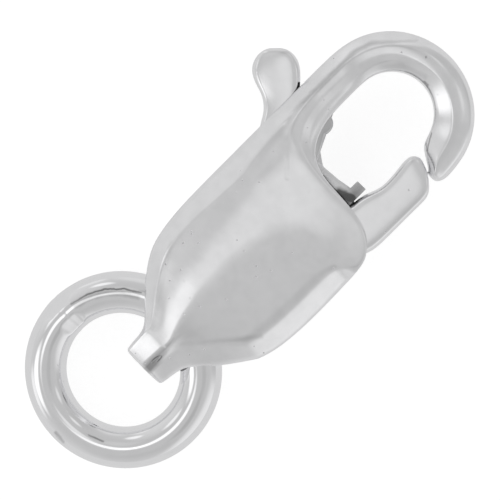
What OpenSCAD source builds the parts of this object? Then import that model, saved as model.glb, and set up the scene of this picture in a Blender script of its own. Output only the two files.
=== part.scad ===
/* [Claw body] */
// Length from the tip of the tail to the floor of the notch beside the gate
body_l = 7.23; // [6.6:0.01:8]
// Width across the widest part of the body
body_w = 4.66; // [4.3:0.01:5]
// Thickness through the middle of the body
body_t = 2.9; // [2.7:0.05:3.2]
// Width of the sloping border along the body's sides
border_w = 0.5; // [0.4:0.05:0.6]
// Height over which the notch runs up into the shank
notch_rise = 1.5; // [1.3:0.05:1.7]
// Ledge of the back plate that shows past the front plate in the notch
ledge_w = 0.2; // [0.14:0.02:0.26]
// Thickness of that ledge
ledge_t = 0.4; // [0.3:0.05:0.5]

/* [Hook] */
// Width of the hook's band, seen from the front
hook_w = 1.14; // [1:0.01:1.25]
// Thickness of the hook's band
hook_t = 1.6; // [1.4:0.05:1.8]
// Width of the opening inside the hook
opening_w = 2.32; // [2.1:0.02:2.5]
// Length of the opening, from the notch to the inside of the hook's top
opening_l = 3.7; // [3.5:0.01:4.1]
// How far the hook's tip comes down past the centre of its curve
tip_drop = 0.48; // [0.4:0.02:0.54]

/* [Tail eye] */
// Diameter of the eye through the tail, which curves as the ring does
eye_d = 1.6; // [1.5:0.05:1.75]
// Distance from the tip of the tail to the middle of the eye
eye_y = 1.67; // [1.55:0.01:1.8]

/* [Slot and pin] */
// Gap between the lever's faces and the slot
slot_gap = 0.05; // [0.04:0.01:0.08]
// Radius of the milled slot round the pin
slot_r = 1.5; // [1.4:0.05:1.6]
// Distance from the notch down to the slot's mouth where the stem comes out
mouth_drop = 1.5; // [1.4:0.05:1.6]
// Distance from the notch up to the end of the slot in the shank
slot_rise = 1.43; // [1.3:0.05:1.5]
// Diameter of the pin
pin_d = 0.8; // [0.7:0.05:0.9]
// Distance from the notch down to the pin
pin_drop = 1.45; // [1.4:0.05:1.6]
// How far the pin sits to the left of the body's middle line
pin_shift = 0.17; // [0.1:0.01:0.24]
// How far the pin goes into the front plate
pin_grip = 0.4; // [0.3:0.05:0.5]
// Radial clearance of the pin in the plates
pin_fit = 0.01; // [0.01:0.005:0.02]
// Radial clearance of the lever on the pin
pin_play = 0.03; // [0.02:0.01:0.05]

/* [Trigger lever] */
// Thickness of the lever
lever_t = 1.1; // [1:0.05:1.2]
// Diameter of the thumb knob
knob_d = 1.3; // [1.2:0.05:1.45]
// Gap between the thumb knob and the shank
knob_gap = 0.13; // [0.1:0.01:0.2]
// Distance from the notch up to the middle of the thumb knob
knob_rise = 1.1; // [1:0.05:1.2]
// Width of the stem between the knob and the hub
stem_w = 0.8; // [0.7:0.05:0.9]
// Diameter of the hub round the pin
hub_d = 1.64; // [1.5:0.02:1.8]
// Diameter of the shoulder that shows past the shank
shoulder_d = 0.62; // [0.5:0.02:0.66]
// Distance from the notch up to the middle of the shoulder
shoulder_rise = 0.96; // [0.8:0.02:1]
// Width of the gate arm
gate_w = 1.06; // [1:0.02:1.12]
// How much wider the gate arm is at its root, beside the notch
gate_flare = 0.18; // [0.1:0.02:0.22]
// How much higher the gate's rounded end is than the corner that meets the hook's tip
gate_crest = 0.19; // [0.12:0.01:0.22]
// Gap between the gate's end and the tip of the hook
gate_gap = 0.08; // [0.06:0.02:0.14]

/* [Leaf spring] */
// Thickness of the spring's strip
strip_t = 0.2; // [0.16:0.02:0.24]
// Height of the strip, across the slot
strip_h = 0.8; // [0.7:0.05:0.9]
// Length of the strip's square end beside the gate
strip_end = 0.36; // [0.3:0.02:0.4]
// Gap between the strip and the lever that carries it
strip_gap = 0.04; // [0.03:0.01:0.06]

/* [Jump ring] */
// Outer diameter of the ring
ring_d = 5.48; // [5.3:0.02:5.8]
// Diameter of the ring's wire
wire_d = 1.15; // [1.05:0.01:1.2]
// How far the ring has slid to the left in the eye
ring_shift = 0.27; // [0:0.01:0.35]

/* [Hidden] */

// Places along the clasp, from the tip of the tail, and across it, from the middle line
half_w = body_w / 2;
mid_z = body_t / 2;
shank_x = -half_w + hook_w;
hook_x = shank_x + opening_w / 2;
hook_outer_x = hook_x + opening_w / 2 + hook_w;
hook_y = body_l + opening_l - opening_w / 2;
slot_t = lever_t + 2 * slot_gap;
pin_x = -pin_shift;
pin_y = body_l - pin_drop;
slot_end_y = body_l + slot_rise;
mouth_y = body_l - mouth_drop;
knob_x = -half_w - knob_gap - knob_d / 2;
knob_y = body_l + knob_rise;

// The hook's band is a little narrower over the top of its curve
crown_share = 0.93;
crown_w = hook_w * crown_share;

// The body's right side stands out past its half width by this share at the most
side_bulge = 1.03;

// The ring leans from the eye at mid height down to the surface that the clasp lies on
ring_mean_r = (ring_d - wire_d) / 2;
ring_tilt = asin((mid_z - wire_d / 2) / (2 * ring_mean_r));
ring_z = (mid_z + wire_d / 2) / 2;
ring_reach = sqrt(pow(ring_mean_r, 2) - pow(ring_shift, 2)) * cos(ring_tilt);
ring_y = eye_y - ring_reach;

// The row frame: the middle of the whole clasp's box, on the surface under it
box_left = knob_x - knob_d / 2;
box_right = max(half_w * side_bulge, hook_outer_x, ring_d / 2 - ring_shift);
box_tail = ring_y - ring_mean_r * cos(ring_tilt) - wire_d / 2;
box_top = hook_y + opening_w / 2 + crown_w;
frame_at = [-(box_left + box_right) / 2, -(box_tail + box_top) / 2, 0];

// Rows from the tail to the notch. X is a share of half_w and Y of body_l, for the left and right edge. thick
// is the share of body_t, edge the side wall's share of that, left_rim and right_rim the borders' shares of
// border_w, and ridge the crest's place from left to right
//           left_x left_y right_x right_y thick edge left_rim right_rim ridge
BODY_ROWS = [
    [-0.170, 0.000,  0.160, -0.004, 0.26, 0.60, 0.30, 0.60, 0.45],
    [-0.250, 0.014,  0.310,  0.010, 0.44, 0.66, 0.35, 1.00, 0.42],
    [-0.290, 0.065,  0.345,  0.062, 0.68, 0.74, 0.40, 1.20, 0.40],
    [-0.330, 0.130,  0.395,  0.124, 0.83, 0.80, 0.50, 1.40, 0.40],
    [-0.655, 0.232,  0.640,  0.204, 0.92, 0.74, 0.85, 2.00, 0.42],
    [-0.890, 0.334,  0.925,  0.330, 0.97, 0.64, 1.00, 1.30, 0.43],
    [-0.955, 0.420,  0.995,  0.408, 1.00, 0.58, 1.00, 1.10, 0.44],
    [-0.990, 0.520,  1.025,  0.520, 1.00, 0.57, 1.00, 1.10, 0.44],
    [-1.000, 0.640,  1.030,  0.650, 1.00, 0.57, 1.00, 1.10, 0.43],
    [-1.000, 0.760,  1.015,  0.780, 1.00, 0.57, 1.00, 1.10, 0.42]
];

// Rows round the notch. left_y and right_y are shares of notch_rise from the notch's floor, and right_x runs
// from the shank's inner side, 0, to the body's right side, 1
//            left_y right_x right_y thick edge right_edge ridge
NOTCH_ROWS = [
    [-0.960, 0.993, -0.600, 1.00, 0.57, 0.57, 0.42],
    [-0.800, 0.956, -0.420, 0.99, 0.57, 0.60, 0.42],
    [-0.620, 0.885, -0.230, 0.98, 0.57, 0.66, 0.43],
    [-0.430, 0.790, -0.090, 0.97, 0.58, 0.74, 0.45],
    [-0.230, 0.600,  0.000, 0.96, 0.60, 0.80, 0.48],
    [-0.030, 0.400,  0.000, 0.95, 0.63, 0.82, 0.52],
    [ 0.150, 0.215,  0.080, 0.93, 0.66, 0.82, 0.54],
    [ 0.370, 0.090,  0.270, 0.90, 0.70, 0.80, 0.54],
    [ 0.620, 0.015,  0.600, 0.85, 0.72, 0.76, 0.52],
    [ 0.950, 0.000,  0.950, 0.79, 0.72, 0.72, 0.50],
    [ 1.350, 0.000,  1.350, 0.66, 0.66, 0.62, 0.48]
];

// Rows of the hook's tip. outer_x is how far the outer side comes in and inner_x how far the slope that the
// gate rests under has gone out, as shares of hook_w. The heights are shares of tip_drop below the centre
//          outer_x outer_y inner_x inner_y thick
TIP_ROWS = [
    [0.00, 0.00, 0.06, 0.02, 1.00],
    [0.02, 0.42, 0.36, 0.40, 0.97],
    [0.06, 0.72, 0.60, 0.70, 0.92],
    [0.13, 0.90, 0.70, 0.92, 0.82],
    [0.24, 1.00, 0.58, 1.02, 0.64]
];

// The hook's curve, in degrees from its left side over the top to its right
half_turn = 180;
HOOK_ANGLES = [for (a = [half_turn:-15:15]) a];

// The hook's side wall as a share of its thickness, and its crest's place across the band. The outer border
// keeps its share of the band, and the inner one grows from the shank to the tip
hook_edge = 0.42;
hook_ridge = 0.44;
outer_rim = 0.3;
shank_rim = 0.12;
tip_rim = 0.42;

// Border along the notch, and the border's share of border_w where the shank begins
notch_border = 0.08;
shank_border = 0.8;

// Steps between two rows, so that the edges come out as smooth curves
row_steps = 3;

// A section is a pair of edge points, half thickness, left and right edge heights, border widths and crest
function body_section(r) =
    [r[0] * half_w, r[1] * body_l, r[2] * half_w, r[3] * body_l, r[4] * mid_z,
     r[5], r[5], r[6] * border_w, r[7] * border_w, r[8]];

function notch_section(r) =
    let (across = shank_x + r[1] * (half_w - shank_x))
    let (right_border = r[1] > 0.9 ? border_w : r[1] > 0.7 ? border_w / 2 : notch_border)
    [-half_w, body_l + r[0] * notch_rise, across, body_l + r[2] * notch_rise, r[3] * mid_z,
     r[4], r[5], border_w * (r[1] > 0.1 ? 1 : shank_border), right_border, r[6]];

function hook_section(a) =
    let (crown = pow(sin(a), 2))
    let (outer_r = opening_w / 2 + hook_w * (1 - (1 - crown_share) * crown))
    let (inner_r = opening_w / 2)
    let (inner_border = hook_w * (shank_rim + (tip_rim - shank_rim) * (1 - a / half_turn)))
    [hook_x + outer_r * cos(a), hook_y + outer_r * sin(a),
     hook_x + inner_r * cos(a), hook_y + inner_r * sin(a), hook_t / 2,
     hook_edge, hook_edge, hook_w * outer_rim, inner_border, hook_ridge];

function tip_section(r) =
    let (left = hook_outer_x - r[0] * hook_w, right = hook_outer_x - hook_w + r[2] * hook_w)
    [left, hook_y - r[1] * tip_drop, right, hook_y - r[3] * tip_drop, r[4] * hook_t / 2,
     hook_edge, hook_edge, (left - right) * outer_rim, (left - right) * tip_rim, hook_ridge];

SECTIONS = concat([for (r = BODY_ROWS) body_section(r)], [for (r = NOTCH_ROWS) notch_section(r)],
                  [for (a = HOOK_ANGLES) hook_section(a)], [for (r = TIP_ROWS) tip_section(r)]);

// A smooth curve through the rows, one column at a time
function curve(p, q, r, s, t) =
    0.5 * (2 * q + (r - p) * t + (2 * p - 5 * q + 4 * r - s) * t * t + (3 * q - p - 3 * r + s) * t * t * t);

function between(i, t) =
    let (last = len(SECTIONS) - 1)
    let (p = SECTIONS[max(i - 1, 0)], q = SECTIONS[i])
    let (r = SECTIONS[min(i + 1, last)], s = SECTIONS[min(i + 2, last)])
    [for (c = [0:len(q) - 1]) curve(p[c], q[c], r[c], s[c], t)];

SMOOTH = concat([for (i = [0:len(SECTIONS) - 2], k = [0:row_steps - 1]) between(i, k / row_steps)],
                [SECTIONS[len(SECTIONS) - 1]]);

// How much of the rise from the side wall to the crest a border makes: the wider its share across, the more
function border_rise(share) = min(0.5 + 1.2 * share, 0.9);

// The outline of one section, as [share across, share of the half thickness], front side then back side. The
// back is flat across its middle, where the clasp rests
function outline(s) =
    let (across = norm([s[2] - s[0], s[3] - s[1]]))
    let (lb = min(s[7] / across, 0.36), rb = min(s[8] / across, 0.42), top = s[9])
    let (lc = s[5] + (1 - s[5]) * border_rise(lb), rc = s[6] + (1 - s[6]) * border_rise(rb))
    let (left_mid = (lb + top) / 2, right_mid = (top + 1 - rb) / 2)
    let (left = [[0, s[5]], [lb / 2, (s[5] + lc) / 2 + 0.02], [lb, lc]])
    let (right = [[1 - rb, rc], [1 - rb / 2, (s[6] + rc) / 2 + 0.02], [1, s[6]]])
    let (front = [[left_mid, lc + (1 - lc) * 0.72], [top, 1], [right_mid, rc + (1 - rc) * 0.72]])
    let (back = [[right_mid, -1], [top, -1], [left_mid, -1]])
    concat(left, front, right, under(right), back, under(left));

// The same points on the back, in the other order
function under(points) = [for (i = [len(points) - 1:-1:0]) [points[i][0], -points[i][1]]];

function ring_of(s) =
    let (half_t = min(s[4], mid_z))
    [for (p = outline(s)) [s[0] + (s[2] - s[0]) * p[0], s[1] + (s[3] - s[1]) * p[0], mid_z + half_t * p[1]]];

// A skin over the rings, in triangles, with a cap at each end
module loft(rings) {
    n = len(rings[0]);
    last = len(rings) - 1;
    low = [for (i = [0:last - 1], j = [0:n - 1]) [i * n + j, i * n + (j + 1) % n]];
    polyhedron(
        points = [for (r = rings) each r],
        faces = concat(
            [[for (j = [0:n - 1]) j]],
            [for (e = low) [e[0], e[0] + n, e[1] + n]],
            [for (e = low) [e[0], e[1] + n, e[1]]],
            [[for (j = [n - 1:-1:0]) last * n + j]]),
        convexity = 8);
}

// The slot is milled from the right, and opens on the left from the stem's lowest place up to its end
module slot_plan() {
    reach = body_w;
    below_pin = gate_w / 4;
    translate([pin_x, pin_y]) circle(r = slot_r, $fn = 64);
    translate([-reach, mouth_y]) square([reach + pin_x, slot_end_y - mouth_y]);
    translate([pin_x, pin_y - below_pin]) square([reach, slot_end_y - pin_y + below_pin]);
}

// The ledge follows the notch's edge, ledge_w past it
module ledge_plan() {
    edge = [for (r = NOTCH_ROWS) if (r[1] < 0.75 && r[2] < 1) let (s = notch_section(r)) [s[2], s[3]]];
    last = len(edge) - 1;
    polygon(concat(
        [for (p = edge) p + [-ledge_w, -ledge_w]],
        [edge[last]],
        [for (i = [last - 1:-1:1]) edge[i] + ledge_w * ledge_out(edge[i - 1], edge[i + 1])],
        [edge[0]]));
}

function ledge_out(p, q) = let (d = (q - p) / norm(q - p)) [d[1], -d[0]];

module claw_body() {
    color([0.86, 0.87, 0.88]) translate(frame_at) difference() {
        union() {
            loft([for (s = SMOOTH) ring_of(s)]);
            translate([0, 0, mid_z - slot_t / 2 - ledge_t]) linear_extrude(ledge_t) ledge_plan();
        }
        translate([0, 0, mid_z - slot_t / 2]) linear_extrude(slot_t) slot_plan();
        translate([pin_x, pin_y, -mid_z])
            cylinder(d = pin_d + 2 * pin_fit, h = 2 * mid_z + slot_t / 2 + pin_grip + pin_fit, $fn = 48);
        translate([0, eye_y - ring_mean_r, mid_z]) rotate_extrude($fn = 96)
            translate([ring_mean_r, 0]) circle(d = eye_d, $fn = 64);
    }
}

// The gate arm's outline, from its root in the slot round its rounded end, which slopes as the hook's tip
// does. end_drop, end_flat and crest_in are shares of gate_w, from the arm's outer and inner side
gate_x = hook_outer_x;
gate_in = gate_x - gate_w;
gate_tip_y = hook_y - tip_drop - gate_gap;
gate_waist_y = (body_l + gate_tip_y) / 2;
gate_root_y = pin_y + gate_w * 0.75;
end_drop = 0.42;
end_flat = 0.3;
crest_in = 0.27;
corner_r = 0.12;
crest_r = gate_w * 0.24;
root_r = corner_r * 1.6;
shoulder_y = body_l + shoulder_rise;

// Where the shoulder's right side is at a height y
function shoulder_side(y) =
    let (t = (y - pin_y) / (shoulder_y - pin_y), lean = atan((pin_x - shank_x) / (shoulder_y - pin_y)))
    pin_x + t * (shank_x - pin_x) + (stem_w + t * (shoulder_d - stem_w)) / 2 / cos(lean);

module spot(x, y, r) translate([x, y]) circle(r = r, $fn = 32);

module gate_plan() {
    hull() {
        spot(gate_x - corner_r, gate_tip_y - gate_w * end_drop, corner_r);
        spot(gate_x - gate_w * end_flat - corner_r, gate_tip_y - corner_r, corner_r);
        spot(gate_in + gate_w * crest_in, gate_tip_y + gate_crest - crest_r, crest_r);
        spot(gate_in + corner_r, gate_waist_y, corner_r);
        spot(gate_x - corner_r, gate_waist_y, corner_r);
    }
    hull() {
        spot(gate_x - corner_r, gate_waist_y, corner_r);
        spot(gate_x - corner_r, gate_root_y, corner_r);
        spot(gate_in + corner_r, gate_waist_y, corner_r);
        spot(gate_in - gate_flare + root_r, body_l + root_r + corner_r, root_r);
    }
}

// The knob swells out of the stem from a spot at its lower right, neck_share of its diameter away each way
module lever_plan() {
    neck_share = 0.42;
    hull() {
        spot(pin_x, pin_y, hub_d * 0.46);
        spot(gate_in + root_r, body_l - strip_t - root_r, root_r);
        spot(gate_x - corner_r, gate_root_y, corner_r);
    }
    hull() {
        spot(knob_x, knob_y, stem_w / 2);
        spot(pin_x, pin_y, stem_w / 2);
    }
    hull() {
        spot(knob_x, knob_y, knob_d / 2);
        spot(knob_x + knob_d * neck_share, knob_y - knob_d * neck_share, stem_w / 2);
    }
    hull() {
        spot(shank_x, shoulder_y, shoulder_d / 2);
        spot(pin_x, pin_y, stem_w / 2);
    }
    translate([pin_x, pin_y]) circle(d = hub_d, $fn = 48);
    gate_plan();
}

module trigger_lever() {
    color([0.84, 0.85, 0.87]) translate(frame_at) difference() {
        translate([0, 0, mid_z - lever_t / 2]) linear_extrude(lever_t) lever_plan();
        translate([pin_x, pin_y, 0]) cylinder(d = pin_d + 2 * pin_play, h = body_t, $fn = 48);
    }
}

// The pin's back end is flush with the flat of the back plate
module pivot_pin() {
    color([0.8, 0.81, 0.82]) translate(frame_at) translate([pin_x, pin_y, 0])
        cylinder(d = pin_d, h = mid_z + slot_t / 2 + pin_grip, $fn = 48);
}

// The strip lies along the notch on the lever's shoulder, and its square end bears on the gate's inner side
module leaf_spring() {
    end_x = gate_in - gate_flare - strip_gap - strip_end;
    end_y = body_l + root_r;
    strip_y = body_l;
    half_t = strip_t / 2;
    color([0.45, 0.45, 0.47]) translate(frame_at + [0, 0, mid_z - strip_h / 2]) linear_extrude(strip_h) {
        translate([end_x, end_y]) square([strip_end, 3 * half_t]);
        hull() {
            spot(end_x + strip_t, end_y + half_t, half_t);
            spot(end_x - strip_end, strip_y, half_t);
        }
        hull() {
            spot(end_x - strip_end, strip_y, half_t);
            spot(shoulder_side(strip_y) + strip_gap + half_t, strip_y, half_t);
        }
    }
}

module jump_ring() {
    color([0.86, 0.87, 0.88]) translate(frame_at + [-ring_shift, ring_y, ring_z]) rotate([ring_tilt, 0, 0])
        rotate_extrude($fn = 96) translate([ring_mean_r, 0]) circle(d = wire_d, $fn = 48);
}

claw_body();
trigger_lever();
pivot_pin();
leaf_spring();
jump_ring();
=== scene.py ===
"""A lobster clasp in polished silver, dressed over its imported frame."""

import math

import bmesh
import bpy
from bpy.props import FloatProperty, FloatVectorProperty, IntProperty, PointerProperty
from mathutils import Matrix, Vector


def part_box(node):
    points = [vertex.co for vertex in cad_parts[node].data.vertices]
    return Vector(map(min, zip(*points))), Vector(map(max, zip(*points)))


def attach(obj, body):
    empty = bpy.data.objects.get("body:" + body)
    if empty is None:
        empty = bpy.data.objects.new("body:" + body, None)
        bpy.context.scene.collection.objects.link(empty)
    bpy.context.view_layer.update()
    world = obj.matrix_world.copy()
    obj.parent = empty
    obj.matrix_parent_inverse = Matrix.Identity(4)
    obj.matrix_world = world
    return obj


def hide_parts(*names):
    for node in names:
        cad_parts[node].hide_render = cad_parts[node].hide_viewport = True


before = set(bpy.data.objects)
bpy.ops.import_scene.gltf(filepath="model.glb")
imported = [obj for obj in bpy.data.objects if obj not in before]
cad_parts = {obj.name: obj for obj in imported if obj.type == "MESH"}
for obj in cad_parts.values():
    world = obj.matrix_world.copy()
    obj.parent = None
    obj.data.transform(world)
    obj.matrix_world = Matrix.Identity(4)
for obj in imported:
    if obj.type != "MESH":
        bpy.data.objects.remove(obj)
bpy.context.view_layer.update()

bl_info = {
    "name": "Lobster Clasp",
    "version": (1, 0, 0),
    "blender": (4, 5, 0),
    "location": "View3D > Sidebar > Clasp",
    "description": "Models a silver lobster clasp with its jump ring, and a small studio for it",
    "category": "Add Mesh",
}

MM = 0.001


def middle(node):
    """The middle of a node's box, in millimetres."""
    low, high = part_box(node)
    return (low + high) / 2 / MM


def span(node):
    """The size of a node's box, in millimetres."""
    low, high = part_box(node)
    return (high - low) / MM


# The clasp is drawn from its tail: X across the body from its middle line, Y from the tip of the tail to the hook,
# Z up from the floor. The pin says where that is in the row frame
PIN_X, PIN_Y = -0.17, 5.78
PIN = middle("pivot_pin")
ORIGIN = Vector((PIN.x - PIN_X, PIN.y - PIN_Y, 0))
BODY_T = span("claw_body").z
MID_Z = BODY_T / 2
LEVER_T = span("trigger_lever").z
SPRING_H = span("leaf_spring").z
BODY_L = 7.23
HALF_W = 2.33
NOTCH_RISE = 1.5
HOOK_W, HOOK_T = 1.14, 1.6
OPENING_W = 2.32
SHANK_X = HOOK_W - HALF_W
HOOK_X = SHANK_X + OPENING_W / 2
HOOK_Y = 9.77
TIP_DROP = 0.48

# The slot: its play above and below the lever together, its round end's radius and the angles in degrees where that
# starts and ends, its top above the notch, how far out it is cut, and the ledge that shows in the notch
SLOT_PLAY = 0.1
SLOT_T = LEVER_T + SLOT_PLAY
SLOT_R = 1.5
SLOT_ARC = (188, 349)
SLOT_TOP = 1.43
SLOT_REACH = 4.0
LEDGE_W, LEDGE_T = 0.2, 0.4
# The slot's floor has painted shade only to the right of this
INSIDE_X = 0.42
# The painted shade on the tail, a dark streak beside its bright facet: where it starts, then its middle, half its
# width and its strength there, and how much more each of them is at the tail's end
TAIL_SHADE_TOP = 1.35
TAIL_SHADE_X, TAIL_SHADE_HALF, TAIL_SHADE_STRENGTH = (0.13, 0.06), (0.04, 0.13), (0.12, 0.55)
# How near a cut wall a face is to count as part of it
NEAR = 0.01

# The pin: its radius, its clearance in claw and lever, and how far it reaches into the front plate
PIN_R = 0.4
PIN_FIT, PIN_PLAY = 0.01, 0.03
PIN_GRIP = 0.4

# The ring's mean radius, its wire's radius, the height above which it has painted dark reflections, and the eye that
# it hangs in
RING_R, WIRE_R = 2.165, 0.575
RING_FRONT = 0.6
EYE_Y, EYE_R = 1.67, 0.8

# The ring's soldered seam: its place in degrees, half its length, the length of its ends and how far it reaches in
# all, the solder's height and spread, its middle line's depth and spread, and the flats that were filed on it, each
# by its lean from straight up and its depth
SEAM_ANGLE = 179
SEAM_HALF, SEAM_END, SEAM_REACH = 0.28, 0.16, 0.58
SEAM_RISE, SEAM_SPREAD = 0.008, 0.22
GROOVE_DEPTH, GROOVE_SPREAD = 0.010, 0.035
SEAM_FLATS = ((math.radians(-32), 0.045), (math.radians(46), 0.045))

# The dent in the tail's facet: its middle, its radius, and its stretch along each axis
DENT_AT = Vector((0.19, 0.31, 2.45))
DENT_R, DENT_STRETCH = 0.2, (0.5, 1.6, 0.7)

# Rows of the claw from the tail to the notch: left x and y, right x and y, thickness, height of the left and right
# edge, height of the left and right border's crease, width of the left and right rim, ridge, crest, lean. X is a
# share of HALF_W and Y of BODY_L. Heights are shares of half the row's thickness, and so is the lean, how much lower
# the ridge is than the crest. The rims are in millimetres. Ridge and crest, the two sides of the bright band, are
# shares of the way across
BODY_ROWS = (
    (-0.235, 0.000, 0.290, -0.002, 0.34, 0.60, 0.55, 0.85, 0.80, 0.05, 0.34, 0.14, 0.52, 0.09),
    (-0.262, 0.014, 0.320, 0.012, 0.56, 0.66, 0.58, 0.88, 0.82, 0.06, 0.42, 0.10, 0.52, 0.09),
    (-0.270, 0.060, 0.335, 0.058, 0.69, 0.70, 0.60, 0.90, 0.84, 0.07, 0.48, 0.10, 0.52, 0.09),
    (-0.285, 0.112, 0.365, 0.108, 0.80, 0.72, 0.62, 0.92, 0.85, 0.10, 0.52, 0.14, 0.52, 0.07),
    (-0.390, 0.148, 0.435, 0.140, 0.845, 0.72, 0.64, 0.89, 0.86, 0.28, 0.62, 0.36, 0.55, 0.03),
    (-0.655, 0.232, 0.640, 0.204, 0.905, 0.68, 0.62, 0.89, 0.86, 0.40, 0.86, 0.31, 0.47, 0.02),
    (-0.890, 0.334, 0.918, 0.336, 0.96, 0.64, 0.58, 0.90, 0.86, 0.44, 0.58, 0.31, 0.43, 0.012),
    (-0.955, 0.420, 0.990, 0.408, 0.985, 0.62, 0.57, 0.91, 0.86, 0.42, 0.58, 0.30, 0.41, 0.01),
    (-0.990, 0.520, 1.025, 0.520, 1.00, 0.62, 0.56, 0.925, 0.86, 0.48, 0.60, 0.29, 0.40, 0.008),
    (-1.000, 0.640, 1.030, 0.650, 1.00, 0.62, 0.56, 0.93, 0.87, 0.56, 0.60, 0.28, 0.43, 0.006),
    (-1.000, 0.760, 1.015, 0.795, 1.00, 0.60, 0.56, 0.935, 0.89, 0.62, 0.58, 0.26, 0.50, 0.004),
)

# Rows round the notch: left y, right x, right y, and the rest as above. Y is a share of NOTCH_RISE above the notch's
# floor, and right x runs from the shank's inner side, 0, to the body's right side, 1. The left edge is straight
NOTCH_ROWS = (
    (-0.960, 1.005, -0.900, 1.00, 0.60, 0.895, 0.93, 0.92, 0.58, 0.20, 0.22, 0.60, 0.004),
    (-0.880, 0.993, -0.620, 1.00, 0.60, 0.91, 0.92, 0.935, 0.54, 0.10, 0.23, 0.64, 0.004),
    (-0.780, 0.956, -0.460, 1.00, 0.60, 0.92, 0.91, 0.945, 0.51, 0.10, 0.24, 0.66, 0.004),
    (-0.620, 0.885, -0.280, 1.00, 0.60, 0.93, 0.90, 0.96, 0.48, 0.12, 0.26, 0.66, 0.004),
    (-0.430, 0.790, -0.150, 1.00, 0.60, 0.93, 0.89, 0.98, 0.45, 0.25, 0.29, 0.66, 0.004),
    (-0.230, 0.600, -0.070, 1.00, 0.60, 0.93, 0.88, 0.975, 0.42, 0.30, 0.32, 0.66, 0.004),
    (-0.030, 0.400, -0.065, 0.99, 0.60, 0.93, 0.88, 0.97, 0.40, 0.32, 0.35, 0.64, 0.004),
    (0.150, 0.215, 0.000, 0.97, 0.60, 0.92, 0.88, 0.965, 0.38, 0.32, 0.36, 0.60, 0.004),
    (0.370, 0.100, 0.190, 0.93, 0.58, 0.91, 0.88, 0.96, 0.37, 0.32, 0.37, 0.58, 0.004),
    (0.620, 0.025, 0.550, 0.86, 0.56, 0.90, 0.89, 0.96, 0.36, 0.31, 0.37, 0.56, 0.004),
    (0.950, 0.000, 0.950, 0.79, 0.53, 0.90, 0.90, 0.96, 0.36, 0.29, 0.37, 0.55, 0.004),
    (1.350, 0.000, 1.350, 0.66, 0.50, 0.88, 0.90, 0.96, 0.36, 0.26, 0.37, 0.56, 0.004),
)

# Rows of the hook, one every HOOK_STEP degrees from the shank over the top: swell, the outer border's width as a
# share of HOOK_W, its height, ridge, lean. The border dies out on the way, and the right half is one rounded band
HOOK_STEP = 15
HOOK_ROWS = (
    (1.000, 0.320, 0.900, 0.37, 0.004),
    (0.985, 0.320, 0.900, 0.37, 0.000),
    (0.985, 0.315, 0.900, 0.37, 0.000),
    (1.010, 0.290, 0.895, 0.36, -0.002),
    (1.050, 0.210, 0.880, 0.35, 0.000),
    (1.085, 0.130, 0.855, 0.34, 0.010),
    (1.100, 0.090, 0.830, 0.34, 0.026),
    (1.100, 0.080, 0.810, 0.34, 0.040),
    (1.080, 0.080, 0.800, 0.34, 0.046),
    (1.050, 0.080, 0.800, 0.34, 0.046),
    (1.020, 0.080, 0.800, 0.34, 0.046),
    (1.000, 0.085, 0.800, 0.34, 0.046),
)

# The hook besides: how much narrower it is over the top, its edges' height, its crest, its inner rim's height and
# what that gains over the top, the inner rim's width at the shank and growth from row to row, as shares of HOOK_W,
# how steeply that rim falls, and how far the crest stays from it
HOOK_CROWN = 0.07
HOOK_EDGE, HOOK_CREST = 0.48, 0.58
HOOK_HIGH, HOOK_GAIN = 0.955, 0.035
HOOK_RIM, RIM_GROWTH, RIM_FALL, RIM_GAP = 0.16, 0.027, 0.66, 0.05

# How far the right rim bulges between its edge and its crease, on the body, round the notch and on the hook, and how
# far the left rim does everywhere
BODY_BULGE, NOTCH_BULGE, HOOK_BULGE, LEFT_BULGE = 0.52, 0.82, 0.55, 0.53

# Rows of the hook's tip: how far the outer edge is in, its drop, how far the inner edge is in, its drop, thickness.
# In X they are shares of HOOK_W, in Y of TIP_DROP below the hook's centre
TIP_ROWS = (
    (0.00, 0.10, 0.04, 0.02, 1.00),
    (0.01, 0.50, 0.26, 0.36, 0.99),
    (0.04, 0.80, 0.48, 0.68, 0.96),
    (0.11, 0.98, 0.60, 0.88, 0.88),
    (0.20, 1.06, 0.55, 1.02, 0.66),
)
# The rest of each of them: heights of the edges and borders, widths of the rims as shares of the row's, ridge, crest
# and lean
TIP_HEIGHTS = (0.48, 0.64, 0.82, 0.99)
TIP_RIMS = (0.10, 0.46)
TIP_TOP = (0.36, 0.50, 0.04)

# Rows of the lever: outer x and y, from the knob round under the hub and up the gate's outer edge, inner x and y,
# from the knob down into the slot and up the gate's inner edge, swell, dome. X and Y are in millimetres, swell is the
# thickness's share, and dome how far the top falls away from its highest line, at DOME_AT of the way in
DOME_AT = 0.85
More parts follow.
